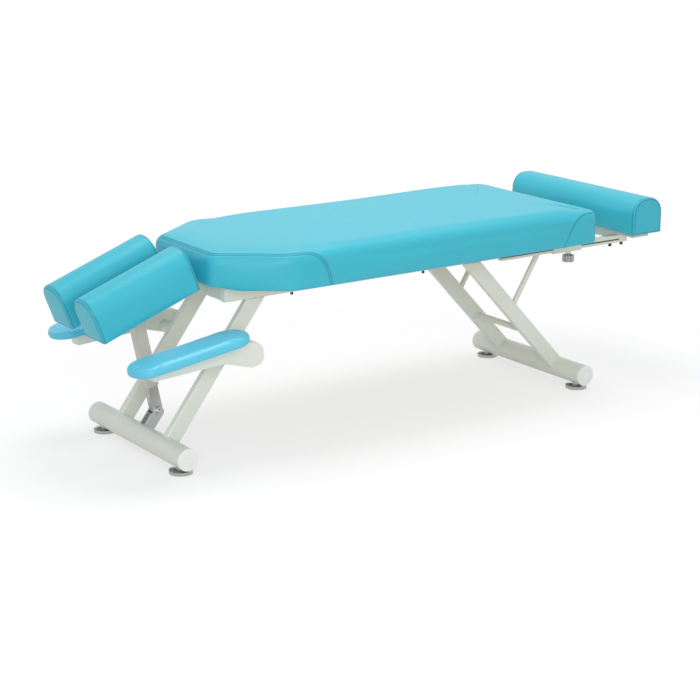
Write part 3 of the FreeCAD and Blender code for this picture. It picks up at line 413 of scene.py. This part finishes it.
def swell(name, grid, held, cap):
    first, index, faces = weldGrid(grid, False)
    rest = grid.reshape(-1, 3)[first]
    piece = linkMesh(name, rest, faces)
    group = piece.vertex_groups.new(name="held")
    group.add(np.unique(index[held]).tolist(), 1.0, "REPLACE")
    cloth = piece.modifiers.new("air", "CLOTH")
    settings = cloth.settings
    settings.quality = clothLook["quality"]
    settings.tension_stiffness = settings.compression_stiffness = clothLook["tension"]
    settings.bending_stiffness = clothLook["bending"]
    settings.use_pressure = True
    settings.uniform_pressure_force = clothLook["pressure"]
    settings.vertex_group_mass = "held"
    settings.effector_weights.gravity = 0
    scene = bpy.context.scene
    for number in range(1, clothLook["frames"] + 1):
        scene.frame_set(number)
    shaped = piece.evaluated_get(bpy.context.evaluated_depsgraph_get())
    places = np.empty(len(rest) * 3, np.float32)
    shaped.data.vertices.foreach_get("co", places)
    moved = places.reshape(-1, 3) / metre - rest
    scene.frame_set(1)
    bpy.data.objects.remove(piece)
    far = np.linalg.norm(moved, axis=1)
    moved *= (cap * np.tanh(far / cap) / np.maximum(far, 1e-6))[:, None]
    print(name, "swelled up to", round(float(far.max()), 1), "mm, capped at", cap)
    return moved[index]


# Mesh of a grid with its seam shade
def meshFromGrid(name, grid, weldBy, material, seam, flip):
    first, index, faces = weldGrid(weldBy, flip)
    piece = linkMesh(name, grid.reshape(-1, 3)[first], faces)
    # the "seam" attribute holds the painted shade of the seam grooves
    attribute = piece.data.attributes.new("seam", "FLOAT", "POINT")
    attribute.data.foreach_set("value", seam.ravel()[first].astype(np.float32))
    piece.data.materials.append(material)
    piece.data.polygons.foreach_set("use_smooth", [True] * len(faces))
    return piece


# Distance of each (around, up) point of the skin from a seam path, both unrolled in millimetres
def seamDistance(around, up, total, path):
    nearest = np.full((len(up), len(around)), 1e3)
    for (s0, h0), (s1, h1) in zip(path[:-1], path[1:]):
        step = np.array([(s1 - s0 + total / 2) % total - total / 2, h1 - h0])
        ds = (around - s0 + total / 2) % total - total / 2
        rise = (up - h0)[:, None]
        share = np.clip((ds[None] * step[0] + rise * step[1]) / max((step ** 2).sum(), 1e-9), 0, 1)
        nearest = np.minimum(nearest, np.hypot(ds[None] - share * step[0], rise - share * step[1]))
    return nearest


# Sewn seam: the cover pulls in along its rows of thread, swells a little beside and between them, and
# has small puckers across it. A seam is pressed into the side and a little way onto the top.
seamLook = {"puckerPitch": 11, "lastStage": 4.2, "shade": 0.8}
doubleSeam = {"rows": (-3.2, 3.2), "rowWidth": 1.5, "depth": 1.3, "puff": 0.5, "pucker": 0.12, "reach": 9}
rimSeam = {"rows": (-4, 4), "rowWidth": 1.5, "depth": 1.1, "puff": 0.4, "pucker": 0.1, "reach": 9}
singleSeam = {"rows": (0,), "rowWidth": 1.8, "depth": 1.4, "puff": 0.5, "pucker": 0.15, "reach": 7}


def seamRelief(distance, seam, along):
    reach = seam["reach"]
    groove = np.exp(-((distance - max(seam["rows"])) / seam["rowWidth"]) ** 2)
    puff = np.exp(-((distance - reach) / (reach / 2)) ** 2)
    pucker = np.sin(along * 2 * math.pi / seamLook["puckerPitch"]) * np.exp(-(distance / reach) ** 2)
    # the groove is also the mask of the painted shade in the seam grooves
    return seam["puff"] * puff + seam["pucker"] * pucker - seam["depth"] * groove, groove


# Stitches: short twisted beads, one after the other along a path on the skin. Each bead is a
# spindle of rings; its place and directions come from the skin under it.
stitchSize = {"pitch": 6.0, "length": 4.6, "radius": 0.55, "rings": 5, "sides": 6, "lift": 0.15}


def makeStitches(name, paths, body):
    size = stitchSize
    along = np.linspace(-1, 1, size["rings"])
    around = np.linspace(0, 2 * math.pi, size["sides"], endpoint=False)
    girth = size["radius"] * np.sqrt(np.maximum(1 - 0.92 * along ** 2, 0))
    bead = np.stack([np.repeat(along * size["length"] / 2, size["sides"]),
                     np.outer(girth, np.cos(around)).ravel(),
                     np.outer(girth, np.sin(around)).ravel()], 1)
    index = np.arange(len(bead)).reshape(size["rings"], size["sides"])
    following = np.roll(index, -1, 1)
    sides = np.stack([index[:-1], following[:-1], following[1:], index[1:]], 2).reshape(-1, 4)
    points, faces, used = [], [], 0
    for centre, ahead, out in paths:
        side = np.cross(out, ahead)
        frames = np.stack([ahead, side, out], 1)
        placed = centre[:, None] + out[:, None] * size["lift"] + np.einsum("kj,nji->nki", bead, frames)
        points.append(placed.reshape(-1, 3))
        starts = used + np.arange(len(centre)) * len(bead)
        faces += (sides[None] + starts[:, None, None]).reshape(-1, 4).tolist()
        faces += (index[0][::-1][None] + starts[:, None]).tolist()
        faces += (index[-1][None] + starts[:, None]).tolist()
        used += len(centre) * len(bead)
    piece = linkMesh(name, np.vstack(points), faces)
    piece.data.materials.append(thread)
    piece.data.polygons.foreach_set("use_smooth", [True] * len(faces))
    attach(piece, body)
    return piece


# Places along a path in (around, up), offset sideways by a row's distance, at the stitches' pitch,
# and the skin's point, direction ahead and outward normal there
def stitchPath(block, path, row):
    path = np.array(path, float)
    steps = np.diff(path, axis=0)
    steps[:, 0] = (steps[:, 0] + block["total"] / 2) % block["total"] - block["total"] / 2
    path = np.vstack([path[:1], path[:1] + np.cumsum(steps, 0)])
    length = np.concatenate([[0], np.cumsum(np.hypot(*steps.T))])
    stops = np.arange(stitchSize["pitch"], length[-1] - stitchSize["pitch"] / 2, stitchSize["pitch"])

    def skinAt(stops):
        point = np.stack([np.interp(stops, length, path[:, i]) for i in (0, 1)], 1)
        ahead = np.stack([np.interp(stops + 2, length, path[:, i]) for i in (0, 1)], 1) - point
        behind = point - np.stack([np.interp(stops - 2, length, path[:, i]) for i in (0, 1)], 1)
        tangent = ahead + behind
        tangent /= np.maximum(np.linalg.norm(tangent, axis=1), 1e-9)[:, None]
        point = point + row * np.stack([-tangent[:, 1], tangent[:, 0]], 1)
        places = np.append(block["places"], block["places"][0] + block["total"])
        around = (point[:, 0] - places[0]) % block["total"] + places[0]
        columnAt = np.interp(around, places, np.arange(len(places)))
        onSide = np.where((block["stage"] >= 1) & (block["stage"] <= 4))[0]
        rowAt = np.interp(point[:, 1], block["run"][onSide], onSide)
        return between(block["grid"], rowAt, columnAt), between(block["normals"], rowAt, columnAt)

    centre, out = skinAt(stops)
    ahead = skinAt(stops + 1.0)[0] - skinAt(stops - 1.0)[0]
    out = out / np.linalg.norm(out, axis=1)[:, None]
    ahead -= out * (ahead * out).sum(1)[:, None]
    ahead /= np.maximum(np.linalg.norm(ahead, axis=1), 1e-9)[:, None]
    return centre, ahead, out


# The plain grid of a padded block: its outline and rings make the skin, with a lip where it has one
def drawnBlock(size, outlineOf, count, fineness=1.0):
    outline = outlineOf(count)
    rows, stage, run = blockRings(size, fineness)
    grid = skin(outline, rows, size["spine"])
    if "lip" in size:
        grid = hangLip(grid, stage, outline, size["lip"])
    return dict(outline, grid=grid, stage=stage, run=run)


# How far each point of a block moves when its coarse twin swells
def swellOf(name, size, outlineOf, seams, block):
    coarse = drawnBlock(size, outlineOf, size["coarseCount"], size["coarseness"])
    held = np.broadcast_to((coarse["stage"] <= 1)[:, None], coarse["grid"].shape[:2]).copy()
    for path, kind in seams:
        held |= seamDistance(coarse["places"], coarse["run"], coarse["total"], path) < size["heldReach"]
    moved = swell(name, coarse["grid"], held, size["cap"])
    rowAt = np.interp(block["stage"], coarse["stage"], np.arange(len(coarse["stage"])))
    places = np.append(coarse["places"], coarse["total"])
    columnAt = np.interp(block["places"], places, np.arange(len(places)))
    return between(moved, *np.broadcast_arrays(rowAt[:, None], columnAt[None]))


# A padded block: the cloth pass swells the skin, the seams are pressed in, and place() sets it where
# the frame has it. seams is a list of (path, seam kind), each path in (distance round the outline,
# height up the side). A place() that mirrors the block needs its faces flipped.
def makeBlock(name, size, outlineOf, place, seams, body, replaced, material, flip=False):
    block = drawnBlock(size, outlineOf, size["count"])
    grid, stage, run = block["grid"], block["stage"], block["run"]
    weldBy = place(grid)
    seams = [(path(block), kind) for path, kind in seams]
    grid = grid + swellOf(name, size, outlineOf, seams, block)
    relief, shade = np.zeros(grid.shape[:2]), np.zeros(grid.shape[:2])
    along = block["places"][None] + run[:, None]
    onSide = ((stage >= 1) & (stage <= seamLook["lastStage"]))[:, None]
    for path, kind in seams:
        distance = seamDistance(block["places"], run, block["total"], path)
        more, groove = seamRelief(distance, kind, along)
        relief += more * onSide
        # painted shade: the grooves' mask, which darkens the vinyl colour down in the seams
        shade = np.maximum(shade, groove * onSide)
    grid = place(grid + gridNormals(grid, 1) * relief[..., None])
    piece = meshFromGrid(name, grid, weldBy, material, shade * seamLook["shade"], flip)
    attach(piece, body)
    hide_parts(replaced)
    if seams:
        block = dict(block, grid=grid, normals=gridNormals(grid, -1 if flip else 1))
        stitchRows = [stitchPath(block, path, row) for path, kind in seams for row in kind["rows"]]
        makeStitches(f"{name}_stitches", stitchRows, body)


print("surfaces ready")

# Main cushion: a tapered block of firm foam. Its top panel is sewn to the side band, and the seams
# run down the long sides near the head and the foot.
cushionLow, cushionHigh = boxOf("main_cushion")
cushionSize = {
    "headHalf": 143, "taperRun": 175.3, "headCorner": 36, "taperCorner": 110, "footCorner": 30,
    "low": cushionLow[2] + 0.6, "high": cushionHigh[2] - 1.5, "bottomRound": 7, "topRound": 32,
    "bow": 0.4, "topCrown": 1.5, "bottomCrown": 0,
    "proud": {"head": 4, "side": 4, "foot": 8},  # the padded cover stands proud of the plain solid
    "rim": 24, "lip": {"depth": 9.5, "width": 20, "wall": 9, "from": 150, "to": 200},
    "bottomRings": 8, "bottomRoundRings": 6, "sideRings": 34, "topRoundRings": 34, "topRings": 26,
    "count": 720, "coarseCount": 260, "coarseness": 0.45, "heldReach": 7, "cap": 5.0,
    "spine": ((-330, 0), (430, 0)), "crowded": ((-300, 50), (585, 60)),  # finer near the two seams
    # the seams' points: place along the long side, height up the side
    "headSeam": ((-350, 94), (-325, 89), (-307, 77), (-292, 61), (-281, 41), (-274, 22), (-270, 4)),
    "footSeam": ((540, 4), (553, 26), (567, 47), (579, 62), (592, 73), (608, 81), (628, 86)),
}


def cushionOutline(count):
    size = cushionSize
    proud = size["proud"]
    head, foot = cushionLow[0] - proud["head"], cushionHigh[0] + proud["foot"]
    wide, narrow = cushionHigh[1] + proud["side"], size["headHalf"] + proud["side"]
    taper = cushionLow[0] + size["taperRun"]
    corners = [(head, 0), (head, -narrow), (taper, -wide), (foot, -wide),
               (foot, wide), (taper, wide), (head, narrow)]
    radii = [0] + [size[name] for name in ("headCorner", "taperCorner", "footCorner",
                                           "footCorner", "taperCorner", "headCorner")]
    return roundedLoop(corners, radii, count, size["crowded"])


# Place round the outline of a point of the near long side, and its mirror on the far side
def sidePlace(outline, x, near):
    onSide = np.where(outline["loop"][:, 1] < outline["loop"][:, 1].min() + 1e-6)[0]
    place = float(np.interp(x, outline["loop"][onSide, 0], outline["places"][onSide]))
    return place if near else outline["total"] - place


# Points at one height round the outline, from one place on to another
def alongRim(start, stop, height, total, steps=60):
    return [(start + (stop - start) % total * step / steps, height) for step in range(1, steps)]


# The head seam goes up the near side, round the head end and down the far side; the foot seam
# goes round the foot end.
def headSeamPath(outline):
    near = [(sidePlace(outline, x, True), up) for x, up in cushionSize["headSeam"]]
    far = [(sidePlace(outline, x, False), up) for x, up in cushionSize["headSeam"]]
    rim = alongRim(far[0][0], near[0][0], near[0][1], outline["total"])
    return far[::-1] + rim + near


def footSeamPath(outline):
    near = [(sidePlace(outline, x, True), up) for x, up in cushionSize["footSeam"]]
    far = [(sidePlace(outline, x, False), up) for x, up in cushionSize["footSeam"]]
    rim = alongRim(near[-1][0], far[-1][0], near[-1][1], outline["total"])
    return near + rim + far[::-1]


makeBlock("main_cushion_cover", cushionSize, cushionOutline, lambda grid: grid,
          [(headSeamPath, doubleSeam), (footSeamPath, singleSeam)], "frame", "main_cushion", vinyl)
print("main cushion made")


# Rolls and bolster: a round-topped section carried along its length, sewn to a flat disc at each end.
# A seam path round the block at one height is its rim.
def rimPath(height):
    def path(outline):
        total = outline["total"]
        return [(0, height)] + alongRim(0, total - 1e-6, height, total) + [(0, height)]
    return path


# Outline of a round-topped section, from the middle of its flat base
def sectionOutline(size):
    def outline(count):
        inset = size["drawnIn"]
        left, right = size["left"] + inset, size["right"] - inset
        base, top = size["base"], size["top"] - inset
        corners = [((left + right) / 2, base), (right, base), (right, top), (left, top), (left, base)]
        radii = [0, size["footRound"], size["crown"], size["crown"], size["footRound"]]
        return roundedLoop(corners, radii, count)
    return outline


def rims(size):
    quarter = size["bottomRound"] * math.pi / 4
    length = size["high"] - size["low"] - size["bottomRound"] - size["topRound"]
    return [(rimPath(quarter), rimSeam), (rimPath(3 * quarter + length), rimSeam)]


rollSize = {
    "left": 37, "right": 142, "base": -15.4, "top": 102, "crown": 50, "footRound": 5,
    "low": -298, "high": 8, "bottomRound": 6, "topRound": 6,
    "bow": 0.4, "topCrown": 1.2, "bottomCrown": 1.2, "drawnIn": -2.5,
    "bottomRings": 14, "bottomRoundRings": 10, "sideRings": 80, "topRoundRings": 10, "topRings": 14,
    "count": 240, "coarseCount": 120, "coarseness": 0.45, "heldReach": 5, "cap": 4.0,
    "spine": ((89.5, 20), (89.5, 55)), "slope": 20.5,
}


# Turns a piece that is drawn about its pivot up or down by an angle, and moves it to the pivot
def placeTurned(grid, pivot, angle, sign):
    turn = math.radians(angle)
    x = grid[..., 0] * math.cos(turn) + grid[..., 2] * math.sin(turn) + pivot[0]
    z = grid[..., 2] * math.cos(turn) - grid[..., 0] * math.sin(turn) + pivot[2]
    return np.stack([x, grid[..., 1] * sign, z], 2)


def makeRoll(side, sign):
    def place(grid):  # (y, z, x) of the section's skin to (x, y, z) of the head section
        return placeTurned(grid[..., [2, 0, 1]], pivots["head_tilt"], -rollSize["slope"], sign)

    makeBlock(f"head_roll_{side}", rollSize, sectionOutline(rollSize), place,
              rims(rollSize), "head", f"head_cushion_{side}", vinyl, flip=sign < 0)


for sideName, sideSign in (("right", -1), ("left", 1)):
    makeRoll(sideName, sideSign)
print("head rolls made")

bolsterLow, bolsterHigh = boxOf("foot_bolster")
bolsterSize = {
    "left": bolsterLow[0], "right": bolsterHigh[0],
    "base": bolsterLow[2] + 0.6, "top": bolsterHigh[2] - 1,
    "crown": 47, "footRound": 5, "low": bolsterLow[1] - 4, "high": bolsterHigh[1] + 4,
    "bottomRound": 6, "topRound": 6, "bow": 0.4, "topCrown": 1.2, "bottomCrown": 1.2, "drawnIn": -2,
    "bottomRings": 14, "bottomRoundRings": 10, "sideRings": 130, "topRoundRings": 10, "topRings": 14,
    "count": 240, "coarseCount": 110, "coarseness": 0.4, "heldReach": 5, "cap": 4.0,
    "spine": ((863.5, 495), (863.5, 525)),
}


def makeBolster():
    def place(grid):  # (x, z, y) of the section's skin to (x, y, z)
        return grid[..., [0, 2, 1]]

    makeBlock("foot_bolster_cover", bolsterSize, sectionOutline(bolsterSize), place,
              rims(bolsterSize), "slide", "foot_bolster", vinyl, flip=True)


makeBolster()
print("foot bolster made")

# Arm pads: thin pads with round ends, drawn about the armrest's pivot
padSize = {
    "tilt": 8.5, "centre": -154, "middle": 228, "length": 353, "width": 114, "endRound": 56,
    "low": 51.9, "high": 74.5, "bottomRound": 4, "topRound": 11, "drawnIn": 1.5,
    "bow": 0.6, "topCrown": 1.6, "bottomCrown": 0,
    "bottomRings": 8, "bottomRoundRings": 6, "sideRings": 8, "topRoundRings": 16, "topRings": 20,
    "count": 280, "coarseCount": 120, "coarseness": 0.5, "heldReach": 0, "cap": 3.0,
    "spine": ((-274, 228), (-34, 228)),
}


def padOutline(count):
    size = padSize
    reach, half = size["length"] / 2 - size["drawnIn"], size["width"] / 2 - size["drawnIn"]
    left, right = size["centre"] - reach, size["centre"] + reach
    inner, outer = size["middle"] - half, size["middle"] + half
    corners = [(left, size["middle"]), (left, inner), (right, inner), (right, outer), (left, outer)]
    return roundedLoop(corners, [0] + [size["endRound"] - size["drawnIn"]] * 4, count)


def makeArmPad(side, sign):
    pivot = pivots[f"armrest_{side}_tilt"]

    def place(grid):
        return placeTurned(grid, pivot, -padSize["tilt"], sign)

    makeBlock(f"arm_pad_cover_{side}", padSize, padOutline, place, [],
              f"armrest_{side}", f"arm_pad_{side}", armVinyl, flip=sign < 0)


for sideName, sideSign in (("right", -1), ("left", 1)):
    makeArmPad(sideName, sideSign)
print("arm pads made")

# Small trim: moulded plugs in the rails' open ends, dark nylon strips in the slots of the slide bars,
# and bearer plates under the bolster's ends. Each gives its lowest and highest corner on the left.
trimSize = {
    "plug": {"lip": 2.5, "round": 1.2},
    "strip": {"low": (408.4, 150, 420.6), "high": (867.6, 158.2, 424.1), "round": 0.8},
    "bearer": {"low": (822, 142.6, 450), "high": (884, 268, 459.5), "round": 1.5},
}
roundedBarRings = {"bottomRings": 4, "bottomRoundRings": 5, "sideRings": 3, "topRoundRings": 5, "topRings": 4}


# A block with rounded edges between two corners: a rounded rectangle in y and z carried along x
def roundedBar(name, low, high, edgeRound, material, body):
    size = dict(roundedBarRings, low=low[0], high=high[0], bottomRound=edgeRound, topRound=edgeRound,
                bow=0, topCrown=0, bottomCrown=0)
    middle, half = (low[1] + high[1]) / 2, (high[2] - low[2]) / 2 - edgeRound
    corners = [(middle, low[2]), (high[1], low[2]), (high[1], high[2]),
               (low[1], high[2]), (low[1], low[2])]
    outline = roundedLoop(corners, [0] + [edgeRound] * 4, 64)
    centre = (low[2] + high[2]) / 2
    rows = blockRings(size)[0]
    spine = ((middle, centre - half / 2), (middle, centre + half / 2))
    grid = skin(outline, rows, spine)[..., [2, 0, 1]]
    piece = meshFromGrid(name, grid, grid, material, np.zeros(grid.shape[:2]), False)
    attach(piece, body)


# A bar on one side of the bed; the right side's is the left one's mirror
def sideBar(name, size, sign, material):
    (x0, y0, z0), (x1, y1, z1) = size["low"], size["high"]
    inner, outer = sorted((sign * y0, sign * y1))
    roundedBar(name, (x0, inner, z0), (x1, outer, z1), size["round"], material, "slide")


for sideName, sideSign in (("right", -1), ("left", 1)):
    sideBar(f"glide_strip_{sideName}", trimSize["strip"], sideSign, darkNylon)
    sideBar(f"bolster_bearer_{sideName}", trimSize["bearer"], sideSign, sleevePaint)

for sideName in ("right", "left"):
    railLow, railHigh = boxOf(f"side_rail_{sideName}")
    lip = trimSize["plug"]["lip"]
    for endName, fromX, toX in (("head", railLow[0] - lip, railLow[0]),
                                ("foot", railHigh[0], railHigh[0] + lip)):
        roundedBar(f"rail_plug_{endName}_{sideName}", (fromX, *railLow[1:]), (toX, *railHigh[1:]),
                   trimSize["plug"]["round"], capPlastic, "frame")
print("trim made")

# Studio: a pale floor, an even white surround and two soft lamps
studio = {
    "world": 0.66, "floorSize": 14, "floorColour": "#E4E4E4",
    "seenFloor": "#A8A8A8", "floorGlow": 0.61, "farGlow": 0.8,
    "lamps": (
        ("overheadLamp", (0.15, 0.25, 3.0), (0, 0, 0.4), 1.7, 33),
        ("sideLamp", (-2.2, -3.6, 1.6), (-0.1, 0, 0.4), 2.4, 50),
    ),
}


# 1 for the rays that show the surround as it is: from the camera, in gloss and through glass
def seenRays(tree):
    lightPath = addNode(tree, "ShaderNodeLightPath")
    straight = addNode(tree, "ShaderNodeMath", None,
                       {0: (lightPath, "Is Camera Ray"), 1: (lightPath, "Is Glossy Ray")}, operation="MAXIMUM")
    return addNode(tree, "ShaderNodeMath", None,
                   {0: (straight, "Value"), 1: (lightPath, "Is Transmission Ray")}, operation="MAXIMUM")


def makeStudio(look):
    size = look["floorSize"] / 2
    corners = [(-size, -size, 0), (size, -size, 0), (size, size, 0), (-size, size, 0)]
    floor = linkMesh("studio_floor", np.array(corners) / metre, [(0, 1, 2, 3)])
    material, tree, coords, shader = newMaterial("studioPaper", Roughness=0.9)
    shader.inputs["Specular IOR Level"].default_value = 0.0
    shader.inputs["Emission Color"].default_value = (1, 1, 1, 1)
    seen = seenRays(tree)
    paper = addNode(tree, "ShaderNodeMix", {6: linear(look["floorColour"]), 7: linear(look["seenFloor"])},
                    {0: (seen, "Value")}, data_type="RGBA")
    tree.links.new(paper.outputs[2], shader.inputs["Base Color"])
    # the paper's own light grows away from the bed, where the lamps' light falls off
    reach = addNode(tree, "ShaderNodeVectorMath", None, {0: (coords, "Object")}, operation="LENGTH")
    evenOut = addNode(tree, "ShaderNodeMapRange",
                      {"From Min": 1.0, "From Max": 4.5,
                       "To Min": look["floorGlow"], "To Max": look["farGlow"]},
                      {"Value": (reach, "Value")})
    glow = addNode(tree, "ShaderNodeMath", None, {0: (seen, "Value"), 1: (evenOut, "Result")},
                   operation="MULTIPLY")
    tree.links.new(glow.outputs["Value"], shader.inputs["Emission Strength"])
    floor.data.materials.append(material)

    world = bpy.data.worlds.new("studioWorld")
    bpy.context.scene.world = world
    world.use_nodes = True
    tree = world.node_tree
    tree.nodes.clear()
    level = addNode(tree, "ShaderNodeMapRange", {"To Min": look["world"], "To Max": 1.0},
                    {"Value": (seenRays(tree), "Value")})
    sky = addNode(tree, "ShaderNodeBackground", {"Color": (1, 1, 1, 1)}, {"Strength": (level, "Result")})
    addNode(tree, "ShaderNodeOutputWorld", None, {"Surface": (sky, "Background")})

    for name, place, target, width, power in look["lamps"]:
        lamp = bpy.data.lights.new(name, "AREA")
        lamp.shape = "DISK"
        lamp.size = width
        lamp.energy = power
        lampObject = bpy.data.objects.new(name, lamp)
        bpy.context.scene.collection.objects.link(lampObject)
        lampObject.location = place
        lampObject.rotation_euler = (Vector(target) - Vector(place)).to_track_quat("-Z", "Y").to_euler()


cameraPlace = {"place": (-2.9416, -4.2302, 1.6093), "target": (-0.019, 0, 0.1757), "lens": 95.07}


def makeCamera(size):
    camera = bpy.data.cameras.new("photoCamera")
    camera.lens = size["lens"]
    camera.sensor_width = 36
    cameraObject = bpy.data.objects.new("photoCamera", camera)
    bpy.context.scene.collection.objects.link(cameraObject)
    cameraObject.location = size["place"]
    away = Vector(size["target"]) - Vector(size["place"])
    cameraObject.rotation_euler = away.to_track_quat("-Z", "Y").to_euler()
    bpy.context.scene.camera = cameraObject


makeStudio(studio)
makeCamera(cameraPlace)
bpy.context.scene.view_settings.view_transform = "Standard"
print("studio made")
